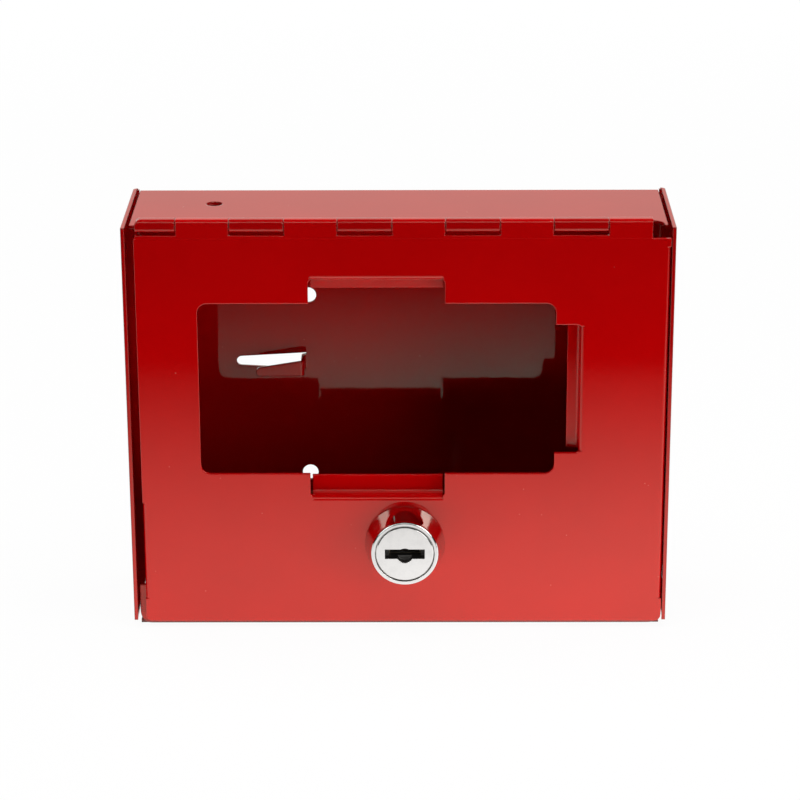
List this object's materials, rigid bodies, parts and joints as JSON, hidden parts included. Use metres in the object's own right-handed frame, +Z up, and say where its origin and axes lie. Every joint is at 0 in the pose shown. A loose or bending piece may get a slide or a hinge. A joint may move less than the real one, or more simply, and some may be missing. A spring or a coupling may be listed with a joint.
{
  "type": "break glass key box",
  "caption": "Shallow folded sheet steel key box with a top hinged door, a breakable pane in a wide window, a key hook inside and a round cam lock below the window.",
  "frame": {"origin": "centre of the underside of the bottom panel, halfway between the door's front face and the wall face", "axes": "+X to the right seen from the front, +Y from the door to the wall, +Z up"},
  "size_m": [0.15, 0.0481, 0.1198],
  "materials": {
    "case_paint": "satin powder coat, signal red",
    "door_paint": "satin powder coat, signal red",
    "zinc_steel": "bright zinc plate",
    "spring_steel": "spring steel",
    "lock_chrome": "bright chrome plate on die cast zinc",
    "plug_chrome": "satin chrome plate on die cast zinc",
    "wafer_brass": "stamped brass",
    "pane": "clear float glass"
  },
  "bodies": {
    "case": {"back_box": "case_paint", "hinge_pin": "zinc_steel"},
    "door": {"door": "door_paint", "glass_pane": "pane", "lock_housing": "lock_chrome", "toothed_washer": "zinc_steel", "barrel_nut": "zinc_steel"},
    "lock": {"lock_plug": "plug_chrome", "wafer_springs": "spring_steel", "stop_washer": "zinc_steel", "cam": "zinc_steel", "spring_washer": "spring_steel", "cam_screw": "zinc_steel"},
    "wafers": {"wafer_1": "wafer_brass", "wafer_2": "wafer_brass", "wafer_3": "wafer_brass", "wafer_4": "wafer_brass", "wafer_5": "wafer_brass", "wafer_6": "wafer_brass"}
  },
  "joints": [
    {"name": "door_hinge", "type": "hinge", "parent": "case", "child": "door", "pos_m": [0, -0.01823, 0.11807], "axis": [-1, 0, 0], "range_deg": [0, 180]},
    {"name": "lock_turn", "type": "hinge", "parent": "door", "child": "lock", "pos_m": [0.00155, -0.02, 0.0258], "axis": [0, 1, 0], "range_deg": [0, 90]},
    {"name": "wafer_lift", "type": "slide", "parent": "lock", "child": "wafers", "axis": [1, 0, 0], "range_m": [0, 0.0008], "stiffness_N_per_m": 20, "springref_m": 0.0018}
  ]
}
